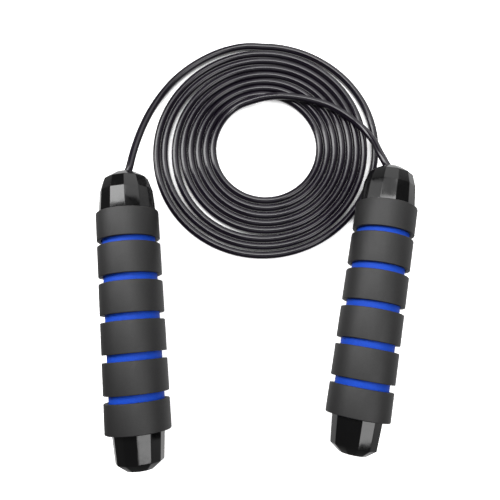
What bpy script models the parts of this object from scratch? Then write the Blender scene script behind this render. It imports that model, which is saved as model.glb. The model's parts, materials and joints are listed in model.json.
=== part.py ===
"""Skipping rope: two foam-grip ball-bearing handles and a PVC rope wound into a flat coil.

The rope lies on the plane z = 0.  Both handles lie on it side by side, tails towards -Y, and the
rope leaves their noses towards +Y.  Every handle part is made along the handle's own +Y axis, with
the handle's origin where the grip begins at the nose end, and is parented to the handle's empty.
"""
import math

import bmesh
import bpy
from mathutils import Matrix, Vector, geometry

MM = 0.001
GAP = 0.3 * MM                      # clearance between neighbouring pieces

# Grip: black foam bands on a blue foam sleeve on a plastic core tube
BAND_COUNT = 6
BAND_LENGTH = 17.2 * MM
END_BAND_LENGTH = 15.85 * MM        # the first and the last band are shorter
BAND_SPACING = 3.9 * MM
FIRST_SPACING = 3.15 * MM
GRIP_RADIUS = 17.5 * MM
BAND_EDGE = 0.5 * MM
SLEEVE_RADIUS = 14.8 * MM
CORE_RADIUS = 12.0 * MM
CORE_BORE_RADIUS = 10.0 * MM
BAND_LENGTHS = [END_BAND_LENGTH] + [BAND_LENGTH] * (BAND_COUNT - 2) + [END_BAND_LENGTH]
BAND_SPACINGS = [FIRST_SPACING] + [BAND_SPACING] * (BAND_COUNT - 2)
GRIP_LENGTH = sum(BAND_LENGTHS) + sum(BAND_SPACINGS)

# Faceted end caps
FACETS = 12
NOSE_LENGTH = 23.9 * MM
TAIL_LENGTH = 19.2 * MM
NOSE_FACET_PHASE = {"left": math.radians(6.1), "right": math.radians(1.0)}
TAIL_FACET_PHASE = {"left": math.radians(5.4), "right": math.radians(-2.4)}
SKIRT_LENGTH = 12.0 * MM            # the nose cap's skirt inside the core tube
PLUG_LENGTH = 14.0 * MM             # the tail cap's plug inside the core tube
PLUG_WALL = 1.8 * MM
ROPE_HOLE_RADIUS = 4.4 * MM

# Ball bearing, 8 x 16 x 5
BEARING_BORE_RADIUS = 4.0 * MM
BEARING_RADIUS = 8.0 * MM
BEARING_WIDTH = 5.0 * MM
BEARING_BACK = 14.0 * MM            # the bearing's inner face, ahead of the grip's end
RACE_WALL = 0.8 * MM
BALL_RADIUS = 0.9 * MM
BALL_COUNT = 8

# Rope, and what holds its end
ROPE_RADIUS = 2.2 * MM
ROPE_END_BACK = 1.5 * MM            # the rope's cut end, ahead of the grip's end
COLLAR_RADIUS = 5.2 * MM
COLLAR_LENGTH = 8.0 * MM
SCREW_RADIUS = 1.15 * MM

# Where the handles lie: the grip's nose end, and the turn about +Z
HANDLES = {
    "left": (Vector((-74.72 * MM, 54.71 * MM, GRIP_RADIUS)), math.radians(4.9)),
    "right": (Vector((75.0 * MM, 59.18 * MM, GRIP_RADIUS)), math.radians(-10.6)),
}

# The coil: the outer shape of its turns, which lie side by side on the plane
COIL_CENTRE = Vector((5.9 * MM, 101.4 * MM, 0.0))
COIL_OUTER_RADIUS = 69.2 * MM
COIL_INNER_RADIUS = 30.6 * MM

# Route points of the two free stretches, in mm, from the bush in the nose to the coil
ROPE_ROUTES = {
    "left": [(-74.6, 82.4, 17.1), (-73.5, 90.7, 15.0), (-71.9, 101.1, 11.2), (-69.7, 110.8, 7.9),
             (-65.5, 123.0, 4.8), (-61.3, 131.6, 3.2), (-57.3, 138.0, 2.5)],
    "right": [(75.6, 87.1, 16.9), (73.0, 94.4, 14.9), (71.2, 101.1, 12.4), (67.3, 109.0, 9.4),
              (61.0, 116.4, 7.4), (53.4, 122.6, 6.95), (45.6, 127.0, 6.9), (37.7, 129.8, 6.9),
              (29.7, 131.7, 6.9), (21.7, 132.8, 6.9), (14.0, 133.2, 6.9)],
}
ROPE_POINT_SPACING = 7.0 * MM

ROUND_STEPS = 24
BALL_STEPS = 6

COLOURS = {
    "black foam": ((0.045, 0.045, 0.045), 0.85, 0.0),
    "blue foam": ((0.02, 0.07, 0.42), 0.75, 0.0),
    "black plastic": ((0.015, 0.015, 0.016), 0.22, 0.0),
    "grey plastic": ((0.35, 0.35, 0.36), 0.45, 0.0),
    "bearing steel": ((0.62, 0.62, 0.64), 0.2, 1.0),
    "zinc": ((0.5, 0.5, 0.52), 0.35, 1.0),
    "brass": ((0.72, 0.52, 0.22), 0.3, 1.0),
    "black pvc": ((0.02, 0.018, 0.022), 0.3, 0.0),
}


def clear_scene():
    for old in list(bpy.data.objects):
        bpy.data.objects.remove(old, do_unlink=True)


def make_materials():
    materials = {}
    for name, (colour, roughness, metallic) in COLOURS.items():
        material = bpy.data.materials.new(name)
        material.use_nodes = True
        shader = material.node_tree.nodes["Principled BSDF"]
        shader.inputs["Base Color"].default_value = (*colour, 1.0)
        shader.inputs["Roughness"].default_value = roughness
        shader.inputs["Metallic"].default_value = metallic
        materials[name] = material
    return materials


def object_from(bm, name, material, parent=None):
    bmesh.ops.recalc_face_normals(bm, faces=bm.faces)
    mesh = bpy.data.meshes.new(name)
    bm.to_mesh(mesh)
    bm.free()
    mesh.materials.append(material)
    mesh.shade_smooth()
    mesh.set_sharp_from_angle(angle=math.radians(20))
    piece = bpy.data.objects.new(name, mesh)
    piece.parent = parent
    bpy.context.collection.objects.link(piece)
    return piece


def rotation(angle, axis):
    return Matrix.Rotation(angle, 3, axis)


def turned(name, profile, material, parent, steps=ROUND_STEPS, phase=0.0, axis=(0, 1, 0)):
    """Spin a closed outline of (place along the axis, radius) points about the axis."""
    along = Vector(axis)
    across = Vector((0, 0, 1)) if axis == (0, 1, 0) else Vector((1, 0, 0))
    bm = bmesh.new()
    corners = [bm.verts.new(along * place + across * radius) for place, radius in profile]
    for first, second in zip(corners, corners[1:] + corners[:1]):
        bm.edges.new((first, second))
    bmesh.ops.rotate(bm, verts=bm.verts, cent=(0, 0, 0), matrix=rotation(phase, along))
    bmesh.ops.spin(bm, geom=bm.verts[:] + bm.edges[:], cent=(0, 0, 0), axis=along,
                   angle=math.tau, steps=steps, use_merge=True)
    bmesh.ops.remove_doubles(bm, verts=bm.verts, dist=0.001 * MM)
    return object_from(bm, name, material, parent)


def tube_profile(start, end, inner, outer):
    return [(start, inner), (start, outer), (end, outer), (end, inner)]


def rod_profile(start, end, radius):
    return [(start, 0.0), (start, radius), (end, radius), (end, 0.0)]


def helper(piece):
    piece.hide_render = True
    piece.display_type = 'WIRE'
    return piece


def combine(piece, other, operation):
    modifier = piece.modifiers.new(operation.lower(), 'BOOLEAN')
    modifier.operation = operation
    modifier.solver = 'EXACT'
    modifier.object = helper(other)


def make_grip(side, parent, materials):
    turned(f"{side}_core_tube", tube_profile(-GRIP_LENGTH, 0.0, CORE_BORE_RADIUS, CORE_RADIUS),
           materials["grey plastic"], parent)
    turned(f"{side}_foam_sleeve",
           tube_profile(-GRIP_LENGTH, 0.0, CORE_RADIUS + GAP, SLEEVE_RADIUS),
           materials["blue foam"], parent)
    front = 0.0
    for number, (length, spacing) in enumerate(zip(BAND_LENGTHS, BAND_SPACINGS + [0.0]), 1):
        back = front - length
        inner = SLEEVE_RADIUS + GAP
        profile = [(back, inner), (back, GRIP_RADIUS - BAND_EDGE), (back + BAND_EDGE, GRIP_RADIUS),
                   (front - BAND_EDGE, GRIP_RADIUS), (front, GRIP_RADIUS - BAND_EDGE),
                   (front, inner)]
        turned(f"{side}_foam_band_{number}", profile, materials["black foam"], parent)
        front = back - spacing


def make_nose_cap(side, parent, materials):
    plastic = materials["black plastic"]
    head = [(GAP, 0.0), (GAP, 16.0 * MM), (12.7 * MM, 15.0 * MM), (19.9 * MM, 12.7 * MM),
            (NOSE_LENGTH, 6.4 * MM), (NOSE_LENGTH, 0.0)]
    cap = turned(f"{side}_nose_cap", head, plastic, parent, FACETS, NOSE_FACET_PHASE[side])
    skirt = rod_profile(-SKIRT_LENGTH, 2.0 * MM, CORE_BORE_RADIUS - GAP)
    combine(cap, turned(f"{side}_nose_skirt_guide", skirt, plastic, parent), 'UNION')
    seat = BEARING_RADIUS + GAP
    shoulder = BEARING_BACK + BEARING_WIDTH + GAP
    bore = [(-SKIRT_LENGTH - MM, 0.0), (-SKIRT_LENGTH - MM, seat), (shoulder, seat),
            (shoulder, ROPE_HOLE_RADIUS), (NOSE_LENGTH - 0.8 * MM, ROPE_HOLE_RADIUS),
            (NOSE_LENGTH + 0.2 * MM, ROPE_HOLE_RADIUS + MM), (NOSE_LENGTH + 0.2 * MM, 0.0)]
    combine(cap, turned(f"{side}_nose_bore_cutter", bore, plastic, parent), 'DIFFERENCE')


def make_tail_cap(side, parent, materials):
    plastic = materials["black plastic"]
    front = -GRIP_LENGTH - GAP
    back = -GRIP_LENGTH - TAIL_LENGTH
    head = [(back, 0.0), (back, 7.3 * MM), (back + 4.0 * MM, 12.7 * MM), (front, 13.9 * MM),
            (front, 0.0)]
    cap = turned(f"{side}_tail_cap", head, plastic, parent, FACETS, TAIL_FACET_PHASE[side])
    plug_radius = CORE_BORE_RADIUS - GAP
    plug_end = front + PLUG_LENGTH
    plug = [(front - 2.0 * MM, 0.0), (front - 2.0 * MM, plug_radius),
            (plug_end - MM, plug_radius), (plug_end, plug_radius - 0.6 * MM), (plug_end, 0.0)]
    combine(cap, turned(f"{side}_tail_plug_guide", plug, plastic, parent), 'UNION')
    hollow = rod_profile(back + 5.0 * MM, plug_end + MM, plug_radius - PLUG_WALL)
    combine(cap, turned(f"{side}_tail_hollow_cutter", hollow, plastic, parent), 'DIFFERENCE')


def make_bearing(side, handle, swivel, materials):
    steel = materials["bearing steel"]
    front = BEARING_BACK + BEARING_WIDTH
    turned(f"{side}_bearing_outer_race",
           tube_profile(BEARING_BACK, front, BEARING_RADIUS - RACE_WALL, BEARING_RADIUS),
           steel, handle)
    turned(f"{side}_bearing_inner_race",
           tube_profile(BEARING_BACK, front, BEARING_BORE_RADIUS, BEARING_BORE_RADIUS + RACE_WALL),
           steel, swivel)
    turned(f"{side}_bearing_retaining_ring",
           tube_profile(BEARING_BACK - 1.6 * MM, BEARING_BACK - GAP, 6.6 * MM, BEARING_RADIUS),
           materials["zinc"], handle)
    make_ball_cage(side, swivel, steel)


def make_ball_cage(side, parent, steel):
    """The balls, joined by the thin ring that keeps them spaced."""
    middle = BEARING_BACK + BEARING_WIDTH / 2
    pitch_radius = (BEARING_RADIUS + BEARING_BORE_RADIUS) / 2
    cage = turned(f"{side}_bearing_balls",
                  tube_profile(middle - 0.5 * MM, middle + 0.5 * MM,
                               pitch_radius - 0.3 * MM, pitch_radius + 0.3 * MM), steel, parent)
    bm = bmesh.new()
    for number in range(BALL_COUNT):
        angle = math.tau * number / BALL_COUNT
        made = bmesh.ops.create_uvsphere(bm, u_segments=BALL_STEPS, v_segments=5,
                                         radius=BALL_RADIUS)
        centre = (pitch_radius * math.sin(angle), middle, pitch_radius * math.cos(angle))
        bmesh.ops.translate(bm, verts=made["verts"], vec=centre)
    combine(cage, object_from(bm, f"{side}_balls_guide", steel, parent), 'UNION')


def make_rope_anchor(side, parent, materials):
    """Bush through the bearing, collar behind it and the grub screw that clamps the rope."""
    bore = ROPE_RADIUS + GAP
    sleeve = BEARING_BORE_RADIUS - GAP
    front = BEARING_BACK + BEARING_WIDTH
    flange_back = BEARING_BACK - 1.8 * MM
    bush = [(flange_back, bore), (flange_back, 5.2 * MM), (BEARING_BACK - GAP, 5.2 * MM),
            (BEARING_BACK - GAP, sleeve), (front, sleeve), (front, bore)]
    turned(f"{side}_rope_bush", bush, materials["brass"], parent)
    collar_front = flange_back - GAP
    collar_back = collar_front - COLLAR_LENGTH
    collar = turned(f"{side}_rope_stop_collar",
                    tube_profile(collar_back, collar_front, bore, COLLAR_RADIUS),
                    materials["zinc"], parent)
    middle = (collar_front + collar_back) / 2
    hole = turned(f"{side}_screw_hole_cutter", rod_profile(0.0, 7.0 * MM, SCREW_RADIUS + GAP),
                  materials["zinc"], parent, 12, axis=(0, 0, 1))
    hole.location.y = middle
    combine(collar, hole, 'DIFFERENCE')
    top = COLLAR_RADIUS - 0.3 * MM
    outline = [(bore, 0.0), (bore, 0.7 * MM), (bore + 0.4 * MM, SCREW_RADIUS), (top, SCREW_RADIUS),
               (top, 0.6 * MM), (top - 1.0 * MM, 0.6 * MM), (top - 1.0 * MM, 0.0)]
    screw = turned(f"{side}_rope_stop_screw", outline, materials["bearing steel"], parent, 12,
                   axis=(0, 0, 1))
    screw.location.y = middle
    turned(f"{side}_rope_end", rod_profile(ROPE_END_BACK, front, ROPE_RADIUS),
           materials["black pvc"], parent, 12)


def smooth_route(points, first_direction):
    """A smooth curve through every point, leaving the first one in the given direction."""
    directions = [first_direction]
    for before, here, after in zip(points, points[1:], points[2:]):
        back, ahead = here - before, after - here
        directions.append((back.normalized() * ahead.length
                           + ahead.normalized() * back.length).normalized())
    directions.append((points[-1] - points[-2]).normalized())
    route = []
    for here, there, leave, arrive in zip(points, points[1:], directions, directions[1:]):
        reach = (there - here).length / 3
        count = 2 + int(3 * reach / ROPE_POINT_SPACING)
        route += geometry.interpolate_bezier(here, here + leave * reach,
                                             there - arrive * reach, there, count)[:-1]
    return route + [points[-1]]


def make_rope_lead(side, material):
    origin, turn = HANDLES[side]
    direction = rotation(turn, Vector((0, 0, 1))) @ Vector((0, 1, 0))
    start = origin + direction * (BEARING_BACK + BEARING_WIDTH + GAP)
    points = [start + direction * MM] + [Vector(point) * MM for point in ROPE_ROUTES[side]]
    curve = bpy.data.curves.new(f"{side}_rope_lead", 'CURVE')
    curve.dimensions = '3D'
    curve.bevel_depth = ROPE_RADIUS
    curve.bevel_resolution = 2
    curve.render_resolution_u = 0
    curve.use_fill_caps = True
    spline = curve.splines.new('POLY')
    route = [start] + smooth_route(points, direction)
    spline.points.add(len(route) - 1)
    for point, place in zip(spline.points, route):
        point.co = (*place, 1.0)
    curve.materials.append(material)
    lead = bpy.data.objects.new(curve.name, curve)
    bpy.context.collection.objects.link(lead)


def make_coil(material):
    round_off = ROPE_RADIUS * (1 - math.sqrt(0.5))
    height = 2 * ROPE_RADIUS
    inner, outer = COIL_INNER_RADIUS, COIL_OUTER_RADIUS
    profile = [(0.0, inner + ROPE_RADIUS), (round_off, inner + round_off),
               (ROPE_RADIUS, inner), (height - round_off, inner + round_off),
               (height, inner + ROPE_RADIUS), (height, outer - ROPE_RADIUS),
               (height - round_off, outer - round_off), (ROPE_RADIUS, outer),
               (round_off, outer - round_off), (0.0, outer - ROPE_RADIUS)]
    coil = turned("rope_coil", profile, material, None, 48, axis=(0, 0, 1))
    coil.location = COIL_CENTRE


def make_empty(name, place, turn):
    empty = bpy.data.objects.new(name, None)
    empty.location = place
    empty.rotation_euler.z = turn
    bpy.context.collection.objects.link(empty)
    return empty


def main():
    clear_scene()
    materials = make_materials()
    for side, (place, turn) in HANDLES.items():
        handle = make_empty(f"{side}_handle_axis", place, turn)
        swivel = make_empty(f"{side}_rope_swivel_axis", place, turn)
        make_grip(side, handle, materials)
        make_nose_cap(side, handle, materials)
        make_tail_cap(side, handle, materials)
        make_bearing(side, handle, swivel, materials)
        make_rope_anchor(side, swivel, materials)
        make_rope_lead(side, materials["black pvc"])
    make_coil(materials["black pvc"])


main()
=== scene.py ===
"""Looks of the jump rope: two banded foam handles and a glossy rope in a flat coil."""
import json
import math

import bmesh
import bpy
from mathutils import Matrix, Vector, geometry


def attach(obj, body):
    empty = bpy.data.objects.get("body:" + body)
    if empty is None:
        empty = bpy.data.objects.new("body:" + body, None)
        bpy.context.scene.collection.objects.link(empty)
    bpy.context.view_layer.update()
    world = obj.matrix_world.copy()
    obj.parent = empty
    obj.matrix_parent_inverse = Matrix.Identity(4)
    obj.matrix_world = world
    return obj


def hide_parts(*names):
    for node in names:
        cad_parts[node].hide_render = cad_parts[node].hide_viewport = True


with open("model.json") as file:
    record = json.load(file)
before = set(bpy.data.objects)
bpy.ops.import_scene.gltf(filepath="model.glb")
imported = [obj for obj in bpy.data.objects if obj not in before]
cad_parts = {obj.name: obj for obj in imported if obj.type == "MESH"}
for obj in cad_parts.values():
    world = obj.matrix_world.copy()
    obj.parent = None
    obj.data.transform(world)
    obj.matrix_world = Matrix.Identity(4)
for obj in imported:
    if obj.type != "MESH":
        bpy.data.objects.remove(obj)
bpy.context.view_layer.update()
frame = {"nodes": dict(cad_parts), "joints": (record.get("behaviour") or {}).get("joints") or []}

MM = 0.001
SIDES = ("left", "right")
BANDS = 6

# Camera: almost straight above, a little towards the tails
CAMERA_PLACE = (-0.0153, -0.0186, 0.3089)
CAMERA_TURN = (math.radians(10.17), math.radians(-2.02), math.radians(-0.29))
CAMERA_LENS = 37.5

# Lights: (name, direction it stands in, distance, its long axis, (long, short) size, radiance)
LIGHTS = (
    ("key", (-0.61, 0.39, 0.69), 0.88, (0.65, 0.1, 0.36), (0.9, 0.30), 9.0),
    ("top", (0.0, 0.18, 0.98), 0.97, (1.0, 0.0, 0.0), (0.36, 0.36), 7.5),
    ("far", (0.38, 0.7, 0.6), 1.0, (1.0, 0.0, 0.0), (0.85, 0.75), 1.6),
    ("high", (0.07, 0.4, 0.91), 1.05, (1.0, 0.0, 0.0), (0.62, 0.46), 1.4),
    ("low", (-0.83, 0.5, 0.26), 0.9, (0.5, 0.83, 0.0), (0.4, 0.25), 1.6),
    ("side", (0.562, -0.312, 0.766), 0.8, (1.0, 0.0, 0.0), (0.34, 0.34), 5.0),
    ("near", (0.08, -0.6, 0.79), 0.9, (1.0, 0.0, 0.0), (0.5, 0.4), 0.8),
)
LIGHTS_AIM = Vector((0.0, 0.03, 0.0))

# Floor: pale, with painted shade that darkens it in the narrow gaps between the rope's turns, and a
# painted glow, seen only by the camera, that hides cast shadows
FLOOR_SIZE = 4.0
FLOOR_DROP = 0.2 * MM
# painted glow: the floor glows for the camera only, which hides cast shadows
FLOOR_PAINTED_GLOW = 0.75
FLOOR_PALE = ((0.9, 0.9, 0.9, 1), (0.92, 0.92, 0.92, 1))
# painted shade: the floor's colour goes towards this dark grey in the narrow gaps between the rope's
# turns, where shade falls
FLOOR_PAINTED_GAP_SHADE = (0.05, 0.05, 0.05, 1)
GAP_REACH = 8.0 * MM                 # how far the floor looks round for what covers it
OPEN_FOR_PAINTED_SHADE = (0.1, 0.35)        # open share at which its colour goes from dark to pale
# open share over which the painted glow comes up, so painted shade cuts it in narrow gaps
OPEN_FOR_PAINTED_GLOW = (0.2, 0.5)

# Room: dim, and brighter low down and towards the far right
ROOM_TOWARDS = (0.3, 0.45, -0.8)
ROOM_TURN = (0.05, 0.65)
ROOM_LIGHT = (0.1, 0.95)
BACKDROP = 0.95

# Rope
ROPE_DIAMETER = 4.4 * MM
ROPE_RADIUS = ROPE_DIAMETER / 2
ROPE_ROUTES = {
    "left": [(-74.6, 82.4, 17.1), (-73.5, 90.7, 15.0), (-71.9, 101.1, 11.2), (-69.7, 110.8, 7.9),
             (-65.5, 123.0, 4.8), (-61.3, 131.6, 3.2), (-57.3, 138.0, 2.5)],
    "right": [(75.6, 87.1, 16.9), (73.0, 94.4, 14.9), (71.2, 101.1, 12.4), (67.3, 109.0, 9.4),
              (61.0, 116.4, 7.4), (53.4, 122.6, 6.95), (45.6, 127.0, 6.9), (37.7, 129.8, 6.9),
              (29.7, 131.7, 6.9), (21.7, 132.8, 6.9), (14.0, 133.2, 6.9)],
}
ROPE_INTO_COIL = [(-52.2, 144.5, 2.3), (-43.9, 152.4, 2.2), (-33.1, 160.0, 2.2),
                  (-19.5, 166.4, 2.2), (-6.7, 169.4, 2.2)]
ROPE_OUT_OF_COIL = [(-10.3, 128.6, 3.0), (-2.0, 131.2, 4.4), (5.9, 132.7, 5.9)]
ROPE_END_INSIDE = 15.0 * MM          # from the bearing's middle back to the rope's cut end
STRAIGHT_INSIDE = 2.8 * MM           # from the bearing's middle forward to the bush's mouth
ROUTE_SPACING = 1.6 * MM
ROPE_ROUNDNESS = 5

# The coil: a spiral of turns side by side. Places on it are in turns clockwise from +Y
COIL_CENTRE = Vector((5.25 * MM, 100.85 * MM, ROPE_RADIUS))
COIL_TURNS = 8
COIL_STOP = COIL_TURNS - 0.27        # where the rope starts to climb over its own turns
COIL_INNER_RADIUS = 31.14 * MM
COIL_PITCH = 4.61 * MM
COIL_OVAL = 0.45 * MM                # every turn is a little longer one way
COIL_OVAL_PLACE = 0.07
COIL_LEAN = 0.4 * MM                 # the middle turns lie off the coil's centre
COIL_LEAN_PLACE = 0.43
COIL_DENT = 0.7 * MM                 # the middle turns are pressed inwards at one place
COIL_DENT_PLACE = 0.955
COIL_DENT_WIDTH = 0.09
# Where a turn stands away from its neighbour: (turns after the start, width in turns, how far)
LOOSE_PLACES = ((0.22, 0.13, 2.68 * MM), (0.66, 0.19, 3.01 * MM), (1.69, 0.17, 2.6 * MM),
                (2.61, 0.11, 1.59 * MM), (5.12, 0.1, -0.55 * MM), (6.12, 0.1, -0.6 * MM),
                (7.12, 0.1, -0.75 * MM))
POINTS_PER_TURN = 96


def turn_radius(turns):
    """The rope's distance from the coil's centre, so many turns after the start at +Y."""
    radius = COIL_INNER_RADIUS + COIL_PITCH * (COIL_TURNS - turns)
    radius += COIL_OVAL * math.cos(2 * math.tau * (turns - COIL_OVAL_PLACE))
    middle = math.sin(math.pi * turns / COIL_TURNS)
    radius += COIL_LEAN * middle * math.cos(math.tau * (turns - COIL_LEAN_PLACE))
    past_dent = (turns - COIL_DENT_PLACE + 0.5) % 1.0 - 0.5
    radius -= COIL_DENT * middle * math.exp(-(past_dent / COIL_DENT_WIDTH) ** 2)
    for place, width, height in LOOSE_PLACES:
        radius += height * math.exp(-((turns - place) / width) ** 2)
    return radius


def coil_point(turns):
    """The rope's centre on the coil, so many turns after the start."""
    angle = math.tau * turns
    outward = Vector((math.sin(angle), math.cos(angle), 0.0))
    return COIL_CENTRE + outward * turn_radius(turns)


def handle_frame(side):
    """From the handle's own space, +Y towards its nose and +Z up, to the row frame.

    The origin is at the middle of the bearing, where the record puts the handle's joint."""
    joint = next(j for j in frame["joints"] if j["name"] == f"{side}_handle_spin")
    along = Vector(joint["axis"]).normalized()
    up = Vector((0, 0, 1))
    turn = Matrix((along.cross(up), along, up)).transposed().to_4x4()
    return Matrix.Translation(joint["pos_m"]) @ turn


def smooth_route(points, first_direction, last_direction):
    """A smooth curve through every point, with given directions at its two ends."""
    directions = [first_direction]
    for before, here, after in zip(points, points[1:], points[2:]):
        back, ahead = here - before, after - here
        directions.append((back.normalized() * ahead.length
                           + ahead.normalized() * back.length).normalized())
    directions.append(last_direction)
    route = []
    for here, there, leave, arrive in zip(points, points[1:], directions, directions[1:]):
        third = (there - here).length / 3
        count = 2 + int(3 * third / ROUTE_SPACING)
        route += geometry.interpolate_bezier(here, here + leave * third,
                                             there - arrive * third, there, count)[:-1]
    return route + [points[-1]]


def in_metres(points):
    return [Vector(point) * MM for point in points]


def rope_line():
    """The rope's centreline from inside the left handle, round the coil, into the right one."""
    mouths, backs, ahead = {}, {}, {}
    for side in SIDES:
        place = handle_frame(side)
        mouths[side] = place @ Vector((0, STRAIGHT_INSIDE, 0))
        backs[side] = place @ Vector((0, -ROPE_END_INSIDE, 0))
        ahead[side] = place.to_3x3() @ Vector((0, 1, 0))
    count = int(POINTS_PER_TURN * COIL_STOP)
    coil = [coil_point(COIL_STOP * step / count) for step in range(count + 1)]
    into = [mouths["left"]] + in_metres(ROPE_ROUTES["left"] + ROPE_INTO_COIL) + [coil[0]]
    out = [coil[-1]] + in_metres(ROPE_OUT_OF_COIL + ROPE_ROUTES["right"][::-1])
    out.append(mouths["right"])
    coil_start = (coil[1] - coil[0]).normalized()
    coil_stop = (coil[-1] - coil[-2]).normalized()
    line = ([backs["left"]]
            + smooth_route(into, ahead["left"], coil_start)[:-1]
            + coil
            + smooth_route(out, coil_stop, -ahead["right"])[1:]
            + [backs["right"]])
    for point in line:
        point.z = max(point.z, ROPE_RADIUS)      # the rope never sinks into the floor
    return line


def make_rope(material):
    """The whole rope as one round curve, from its end in one handle to its end in the other."""
    line = rope_line()
    curve = bpy.data.curves.new("rope", 'CURVE')
    curve.dimensions = '3D'
    curve.bevel_depth = ROPE_RADIUS
    curve.bevel_resolution = ROPE_ROUNDNESS
    curve.use_fill_caps = True
    spline = curve.splines.new('POLY')
    spline.points.add(len(line) - 1)
    for point, place in zip(spline.points, line):
        point.co = (*place, 1.0)
    spline.use_smooth = True
    curve.materials.append(material)
    rope = bpy.data.objects.new("rope", curve)
    bpy.context.collection.objects.link(rope)
    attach(rope, "rope")
    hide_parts("rope_coil", "left_rope_lead", "right_rope_lead", "left_rope_end",
                "right_rope_end")


def reach(node, place):
    """(lowest, highest, smallest radius, largest radius) of a CAD node along a handle's axis."""
    inverse = place.inverted()
    points = [inverse @ vertex.co for vertex in frame["nodes"][node].data.vertices]
    along = [point.y for point in points]
    radii = [math.hypot(point.x, point.z) for point in points]
    return min(along), max(along), min(radii), max(radii)


# ---------------------------------------------------------------- materials

# (darker, lighter) colour of each material's fine variation
BLACK_FOAM = ((0.0105, 0.0102, 0.0105, 1), (0.0145, 0.0142, 0.0142, 1))
BLUE_FOAM = ((0.009, 0.058, 0.45, 1), (0.013, 0.072, 0.53, 1))
CAP_PLASTIC = ((0.002, 0.002, 0.0022, 1), (0.0035, 0.0035, 0.0037, 1))
ROPE_PVC = ((0.004, 0.0025, 0.006, 1), (0.007, 0.0045, 0.0105, 1))
CORE_PLASTIC = ((0.1, 0.1, 0.105, 1), (0.14, 0.14, 0.145, 1))
STEEL = (0.62, 0.62, 0.64, 1)
ZINC = (0.5, 0.5, 0.52, 1)
BRASS = (0.72, 0.52, 0.22, 1)
METAL_SHADE = 0.8                     # the darkest spots of a metal, as a share of its colour
BLACK_FOAM_SHINE = 0.5
BLUE_FOAM_SHINE = 0.12
FOAM_CLOUDS = 70.0                    # noise scales, per metre
FOAM_SOFTNESS = 500.0
FOAM_MOTTLE = 900.0
FOAM_GRAIN = 1700.0
FOAM_PORES = 3000.0
MID_NOISE = (0.35, 0.65)              # the part of a noise's range that most of it falls in
WIDE_NOISE = (0.3, 0.7)


class Nodes:
    """A short way to write a material's nodes."""

    def __init__(self, name, **settings):
        self.material = bpy.data.materials.new(name)
        self.material.use_nodes = True
        self.tree = self.material.node_tree
        self.shader = self.tree.nodes["Principled BSDF"]
        for socket, value in settings.items():
            self.shader.inputs[socket.replace("_", " ")].default_value = value
        self.place = self.add("ShaderNodeTexCoord").outputs["Object"]

    def add(self, kind, **inputs):
        node = self.tree.nodes.new(kind)
        for socket, value in inputs.items():
            self.put(node.inputs[socket.replace("_", " ")], value)
        return node

    def put(self, socket, value):
        if isinstance(value, bpy.types.NodeSocket):
            self.tree.links.new(value, socket)
        else:
            socket.default_value = value

    def noise(self, scale, detail=3.0, roughness=0.55):
        node = self.add("ShaderNodeTexNoise", Vector=self.place, Scale=scale, Detail=detail,
                        Roughness=roughness)
        return node.outputs["Fac"]

    def cells(self, scale):
        return self.add("ShaderNodeTexVoronoi", Vector=self.place, Scale=scale).outputs["Distance"]

    def span(self, value, low, high, start=0.0, end=1.0):
        """Turns start to end of the value into low to high."""
        node = self.add("ShaderNodeMapRange", Value=value)
        for number, limit in enumerate((start, end, low, high), 1):
            node.inputs[number].default_value = limit
        return node.outputs["Result"]

    def blend(self, factor, first, second):
        node = self.tree.nodes.new("ShaderNodeMix")
        node.data_type = 'RGBA'
        self.put(node.inputs["Factor"], factor)
        self.put(node.inputs[6], first)
        self.put(node.inputs[7], second)
        return node.outputs[2]

    def bump(self, height, distance, strength=1.0, under=None):
        node = self.add("ShaderNodeBump", Height=height, Distance=distance, Strength=strength)
        if under is not None:
            self.put(node.inputs["Normal"], under)
        return node.outputs["Normal"]

    def give(self, socket, value):
        self.put(self.shader.inputs[socket], value)


def foam_material(name, colours, shine):
    """Closed-cell foam: fine pores all over, and a faint cloudiness from handling."""
    made = Nodes(name)
    made.shader.inputs["Specular IOR Level"].default_value = shine
    cloud = made.span(made.noise(FOAM_CLOUDS, 2.0), 0.0, 0.35, *MID_NOISE)
    grain = made.add("ShaderNodeMath", Value=cloud)
    grain.operation = 'ADD'
    made.put(grain.inputs[1], made.span(made.noise(FOAM_GRAIN, 3.0), 0.0, 0.65, *MID_NOISE))
    made.give("Base Color", made.blend(grain.outputs[0], *colours))
    made.give("Roughness", made.span(made.noise(FOAM_MOTTLE), 0.48, 0.62))
    soft = made.bump(made.noise(FOAM_SOFTNESS, 4.0, 0.6), 0.05 * MM, 0.4)
    made.give("Normal", made.bump(made.cells(FOAM_PORES), 0.03 * MM, 0.5, soft))
    return made.material


def cap_material():
    """Glossy moulded plastic, a little uneven in its shine."""
    made = Nodes("black_moulded_plastic")
    made.give("Base Color", made.blend(made.noise(60.0), *CAP_PLASTIC))
    made.give("Roughness", made.span(made.noise(220.0, 5.0), 0.07, 0.17, *WIDE_NOISE))
    made.give("Normal", made.bump(made.noise(350.0, 2.0), 0.02 * MM, 0.25))
    return made.material


def rope_material():
    """Smooth extruded PVC with a slight purple cast."""
    made = Nodes("black_pvc")
    made.give("Base Color", made.blend(made.noise(90.0), *ROPE_PVC))
    made.give("Roughness", made.span(made.noise(300.0, 4.0), 0.13, 0.2, *WIDE_NOISE))
    made.give("Normal", made.bump(made.noise(240.0, 2.0), 0.01 * MM, 0.2))
    return made.material


def metal_material(name, colour, roughness):
    """Machined or plated metal with fine dull spots."""
    made = Nodes(name, Metallic=1.0)
    darker = tuple(c * METAL_SHADE for c in colour[:3]) + (1,)
    made.give("Base Color", made.blend(made.noise(500.0), colour, darker))
    made.give("Roughness", made.span(made.noise(1500.0, 4.0), roughness, roughness + 0.15))
    made.give("Normal", made.bump(made.noise(2500.0), 0.01 * MM, 0.4))
    return made.material


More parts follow.
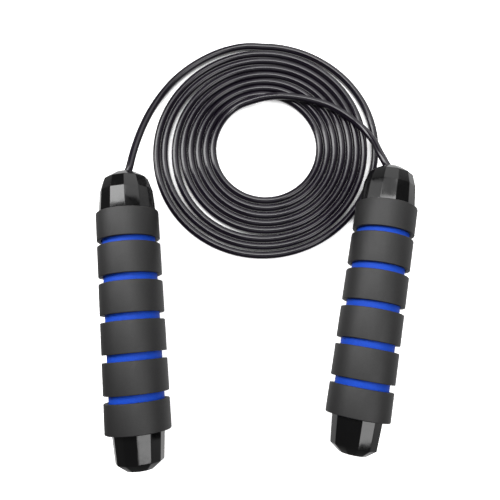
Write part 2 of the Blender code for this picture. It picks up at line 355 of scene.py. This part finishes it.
def core_material():
    """Dull moulded plastic of the tube inside the grip."""
    made = Nodes("grey_core_plastic")
    made.give("Base Color", made.blend(made.noise(80.0), *CORE_PLASTIC))
    made.give("Roughness", made.span(made.noise(500.0), 0.38, 0.55))
    made.give("Normal", made.bump(made.noise(900.0), 0.03 * MM, 0.4))
    return made.material


# ---------------------------------------------------------------- meshes

ROUND_COLUMNS = 96
FACETS = 12
FACET_EDGE = 0.28 * MM
EDGE_STEPS = 4                        # columns round a facet's rounded edge
FACE_STEPS = 5                        # columns across a facet
CORNER_SHARE = 0.45                   # the most of a side that a rounded corner takes up
SHARP_ANGLE = math.radians(20)
CAP_CORNER = 0.35 * MM
CAP_CORNER_STEPS = 3


def rounded(outline, radius, steps):
    """The closed outline with each corner turned into an arc of at most that radius."""
    result = []
    count = len(outline)
    for index in range(count):
        before, here, after = (Vector(outline[(index + k) % count]) for k in (-1, 0, 1))
        back, ahead = (before - here), (after - here)
        cut = min(radius, back.length * CORNER_SHARE, ahead.length * CORNER_SHARE)
        start, end = here + back.normalized() * cut, here + ahead.normalized() * cut
        for step in range(steps + 1):
            t = step / steps
            result.append((1 - t) ** 2 * start + 2 * t * (1 - t) * here + t * t * end)
    return result


def skin(bm, rings, closed=True):
    """Faces between rings of vertices, each ring closed on itself."""
    pairs = list(zip(rings, rings[1:])) + ([(rings[-1], rings[0])] if closed else [])
    for first, second in pairs:
        for index in range(len(first)):
            following = (index + 1) % len(first)
            bm.faces.new((first[index], first[following], second[following], second[index]))


def object_from(bm, name, place, material, body, node):
    """A piece in a handle's own space that rides on a body and stands for a CAD node."""
    bmesh.ops.recalc_face_normals(bm, faces=bm.faces)
    mesh = bpy.data.meshes.new(name)
    bm.to_mesh(mesh)
    bm.free()
    mesh.materials.append(material)
    mesh.shade_smooth()
    mesh.set_sharp_from_angle(angle=SHARP_ANGLE)
    piece = bpy.data.objects.new(name, mesh)
    piece.matrix_world = place
    bpy.context.collection.objects.link(piece)
    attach(piece, body)
    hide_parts(node)
    return piece


def turned_mesh(outline):
    """Spins a closed (along, radius) outline about +Y."""
    bm = bmesh.new()
    angles = [math.tau * column / ROUND_COLUMNS for column in range(ROUND_COLUMNS)]
    rings = [[bm.verts.new((radius * math.sin(angle), along, radius * math.cos(angle)))
              for angle in angles] for along, radius in outline]
    skin(bm, rings)
    return bm


def facet_columns(phase):
    """(direction of the facet edge, turn from it, share of the way along the facet) per column."""
    half = math.pi / FACETS
    columns = []
    for number in range(FACETS):
        corner = phase + math.tau * number / FACETS
        for step in range(EDGE_STEPS + 1):
            columns.append((corner, half * (2 * step / EDGE_STEPS - 1), None))
        for step in range(1, FACE_STEPS):
            columns.append((corner, None, step / FACE_STEPS))
    return columns


def facet_point(column, radius):
    """A point, (across, up), of the twelve-sided section with softly rounded edges."""
    corner, turn, share = column
    half = math.pi / FACETS
    inner = radius - FACET_EDGE / math.cos(half)

    def on_arc(middle, tilt):
        return (Vector((math.sin(middle), math.cos(middle))) * inner
                + Vector((math.sin(middle + tilt), math.cos(middle + tilt))) * FACET_EDGE)

    if share is None:
        return on_arc(corner, turn)
    start = on_arc(corner, half)
    end = on_arc(corner + 2 * half, -half)
    return start.lerp(end, share)


def faceted_mesh(outline, phase, caps=False):
    """Skins (along, radius, kind) rings, kind being 'facets' or 'round', about +Y."""
    bm = bmesh.new()
    columns = facet_columns(phase)
    rings = []
    for along, radius, kind in outline:
        ring = []
        for column in columns:
            across, up = facet_point(column, radius)
            if kind == 'round':
                angle = math.atan2(across, up)
                across, up = radius * math.sin(angle), radius * math.cos(angle)
            ring.append(bm.verts.new((across, along, up)))
        rings.append(ring)
    skin(bm, rings, closed=not caps)
    if caps:
        bm.faces.new(rings[0])
        bm.faces.new(rings[-1])
    return bm


def soften(points):
    """The open cap outline with its inner corners rounded; each arc is of its corner's kind."""
    result = [points[0]]
    for before, here, after in zip(points, points[1:], points[2:]):
        corner = Vector(here[:2])
        back, ahead = Vector(before[:2]) - corner, Vector(after[:2]) - corner
        cut = min(CAP_CORNER, back.length * CORNER_SHARE, ahead.length * CORNER_SHARE)
        start, end = corner + back.normalized() * cut, corner + ahead.normalized() * cut
        for step in range(CAP_CORNER_STEPS + 1):
            t = step / CAP_CORNER_STEPS
            spot = (1 - t) ** 2 * start + 2 * t * (1 - t) * corner + t * t * end
            result.append((spot.x, spot.y, here[2]))
    return result + [points[-1]]


# ---------------------------------------------------------------- handle pieces

GRIP_END = -16.5 * MM                 # the grip's nose end, from the bearing's middle
NOSE_PHASE = {"left": math.radians(6.1), "right": math.radians(1.0)}
TAIL_PHASE = {"left": math.radians(5.4), "right": math.radians(-2.4)}
BAND_EDGE = (0.5 * MM, 4)             # (radius, steps) of the foam's rounded edges
SLEEVE_EDGE = (0.4 * MM, 2)
CAP_SKIRT = 9.7 * MM                  # radius of what goes into the core tube
ROPE_HOLE = 4.4 * MM
BEARING_SEAT = 8.3 * MM               # radius
SEAT_FRONT = 2.8 * MM                 # from the bearing's middle
TAIL_PLUG = 14.0 * MM                 # length
TAIL_PLUG_BORE = 7.9 * MM             # radius


def make_foam(side, node, edge, place, material):
    """A foam tube with the CAD node's length, bore and width, and with soft edges."""
    low, high, inner, outer = reach(node, place)
    corners = [(low, inner), (low, outer), (high, outer), (high, inner)]
    piece = object_from(turned_mesh(rounded(corners, *edge)), f"{node}_foam", place, material,
                        f"{side}_handle", node)


def make_nose_cap(side, place, material):
    """The faceted cap that the rope comes out of, with the bearing's seat inside."""
    node = f"{side}_nose_cap"
    low, high, _, _ = reach(node, place)
    front = 0.3 * MM + GRIP_END
    outline = [(front, 12.0 * MM, 'facets'), (front, 16.0 * MM, 'facets'),
               (12.7 * MM + GRIP_END, 15.0 * MM, 'facets'),
               (19.9 * MM + GRIP_END, 12.7 * MM, 'facets'), (high, 6.4 * MM, 'facets'),
               (high, ROPE_HOLE + 1.0 * MM, 'round'), (high - 0.8 * MM, ROPE_HOLE, 'round'),
               (SEAT_FRONT, ROPE_HOLE, 'round'), (SEAT_FRONT, BEARING_SEAT, 'round'),
               (low, BEARING_SEAT, 'round'), (low, CAP_SKIRT, 'round'),
               (front, CAP_SKIRT, 'round'), (front, 11.0 * MM, 'round')]
    object_from(faceted_mesh(soften(outline), NOSE_PHASE[side]), f"{node}_moulding", place,
                material, f"{side}_handle", node)


def make_tail_cap(side, place, material):
    """The faceted cap at the other end, with its hollow plug."""
    node = f"{side}_tail_cap"
    low, high, _, _ = reach(node, place)
    front = high - TAIL_PLUG
    outline = [(low + 5.0 * MM, TAIL_PLUG_BORE, 'round'), (high, TAIL_PLUG_BORE, 'round'),
               (high, 9.1 * MM, 'round'), (high - 1.0 * MM, CAP_SKIRT, 'round'),
               (front, CAP_SKIRT, 'round'), (front, 13.9 * MM, 'facets'),
               (low + 4.0 * MM, 12.7 * MM, 'facets'), (low, 7.3 * MM, 'facets'),
               (low, 6.3 * MM, 'facets')]
    object_from(faceted_mesh(soften(outline), TAIL_PHASE[side], caps=True),
                f"{node}_moulding", place, material, f"{side}_tail_cap", node)


def dress_hidden_parts(side, materials):
    """Gives the CAD nodes inside the handle their materials."""
    looks = {"core_tube": "core", "bearing_outer_race": "steel", "bearing_inner_race": "steel",
             "bearing_balls": "steel", "bearing_retaining_ring": "zinc", "rope_bush": "brass",
             "rope_stop_collar": "zinc", "rope_stop_screw": "steel"}
    for part, look in looks.items():
        mesh = frame["nodes"][f"{side}_{part}"].data
        mesh.materials.clear()
        mesh.materials.append(materials[look])


# ---------------------------------------------------------------- stage

def make_floor():
    bm = bmesh.new()
    bmesh.ops.create_grid(bm, x_segments=1, y_segments=1, size=FLOOR_SIZE)
    mesh = bpy.data.meshes.new("floor")
    bm.to_mesh(mesh)
    bm.free()
    made = Nodes("pale_floor", Roughness=0.9)
    open_sky = made.add("ShaderNodeAmbientOcclusion", Distance=GAP_REACH).outputs["AO"]
    # painted shade: the floor's colour goes dark where little open sky is seen, in the gaps between
    # the rope's turns
    made.give("Base Color", made.blend(made.span(open_sky, 0.0, 1.0, *OPEN_FOR_PAINTED_SHADE),
                                       FLOOR_PAINTED_GAP_SHADE, made.blend(made.noise(3.0), *FLOOR_PALE)))
    # painted glow seen only by the camera, which hides cast shadows; in the narrow gaps between the
    # rope's turns it is cut back to painted shade
    made.shader.inputs["Emission Color"].default_value = (1.0, 1.0, 1.0, 1.0)
    seen = made.add("ShaderNodeLightPath").outputs["Is Camera Ray"]
    glow = made.add("ShaderNodeMath", Value=made.span(open_sky, 0.0, FLOOR_PAINTED_GLOW, *OPEN_FOR_PAINTED_GLOW))
    glow.operation = 'MULTIPLY'
    made.put(glow.inputs[1], seen)
    made.give("Emission Strength", glow.outputs["Value"])
    mesh.materials.append(made.material)
    floor = bpy.data.objects.new("floor", mesh)
    floor.location.z = -FLOOR_DROP
    floor.visible_glossy = False
    floor.visible_diffuse = False
    bpy.context.collection.objects.link(floor)


def make_light(name, direction, distance, long_axis, size, radiance):
    """A rectangular soft box that faces the object."""
    light = bpy.data.lights.new(name, 'AREA')
    light.shape = 'RECTANGLE'
    light.size, light.size_y = size
    light.energy = radiance * math.pi * size[0] * size[1]
    back = Vector(direction).normalized()
    across = (Vector(long_axis) - back * back.dot(Vector(long_axis))).normalized()
    turn = Matrix((across, back.cross(across), back)).transposed().to_4x4()
    lamp = bpy.data.objects.new(name, light)
    lamp.matrix_world = Matrix.Translation(LIGHTS_AIM + back * distance) @ turn
    bpy.context.collection.objects.link(lamp)


def make_world():
    """A dim room, brighter to one side, with a pale backdrop where the camera looks past the floor."""
    world = bpy.data.worlds.new("studio")
    bpy.context.scene.world = world
    world.use_nodes = True
    tree = world.node_tree

    def span(value, start, end, low, high):
        node = tree.nodes.new("ShaderNodeMapRange")
        for number, limit in enumerate((start, end), 1):
            node.inputs[number].default_value = limit
        for number, level in ((3, low), (4, high)):
            if isinstance(level, bpy.types.NodeSocket):
                tree.links.new(level, node.inputs[number])
            else:
                node.inputs[number].default_value = level
        tree.links.new(value, node.inputs["Value"])
        return node.outputs["Result"]

    direction = tree.nodes.new("ShaderNodeTexCoord").outputs["Generated"]
    facing = tree.nodes.new("ShaderNodeVectorMath")
    facing.operation = 'DOT_PRODUCT'
    facing.inputs[1].default_value = ROOM_TOWARDS
    tree.links.new(direction, facing.inputs[0])
    room = span(facing.outputs["Value"], *ROOM_TURN, *ROOM_LIGHT)
    seen = tree.nodes.new("ShaderNodeLightPath").outputs["Is Camera Ray"]
    background = tree.nodes["Background"]
    background.inputs["Color"].default_value = (1.0, 1.0, 1.0, 1.0)
    tree.links.new(span(seen, 0.0, 1.0, room, BACKDROP), background.inputs["Strength"])


def make_camera():
    camera = bpy.data.cameras.new("camera")
    camera.lens = CAMERA_LENS
    camera.clip_start = 0.01
    eye = bpy.data.objects.new("camera", camera)
    eye.location = CAMERA_PLACE
    eye.rotation_euler = CAMERA_TURN
    bpy.context.collection.objects.link(eye)
    bpy.context.scene.camera = eye


def main():
    bpy.context.scene.view_settings.view_transform = 'Standard'
    make_camera()
    make_rope(rope_material())
    materials = {
        "black_foam": foam_material("black_foam", BLACK_FOAM, BLACK_FOAM_SHINE),
        "blue_foam": foam_material("blue_foam", BLUE_FOAM, BLUE_FOAM_SHINE),
        "cap": cap_material(),
        "core": core_material(),
        "steel": metal_material("bearing_steel", STEEL, 0.12),
        "zinc": metal_material("zinc_plate", ZINC, 0.3),
        "brass": metal_material("turned_brass", BRASS, 0.22),
    }
    for side in SIDES:
        place = handle_frame(side)
        for number in range(1, BANDS + 1):
            make_foam(side, f"{side}_foam_band_{number}", BAND_EDGE, place,
                      materials["black_foam"])
        make_foam(side, f"{side}_foam_sleeve", SLEEVE_EDGE, place,
                  materials["blue_foam"])
        make_nose_cap(side, place, materials["cap"])
        make_tail_cap(side, place, materials["cap"])
        dress_hidden_parts(side, materials)
    make_floor()
    make_world()
    for light in LIGHTS:
        make_light(*light)


main()
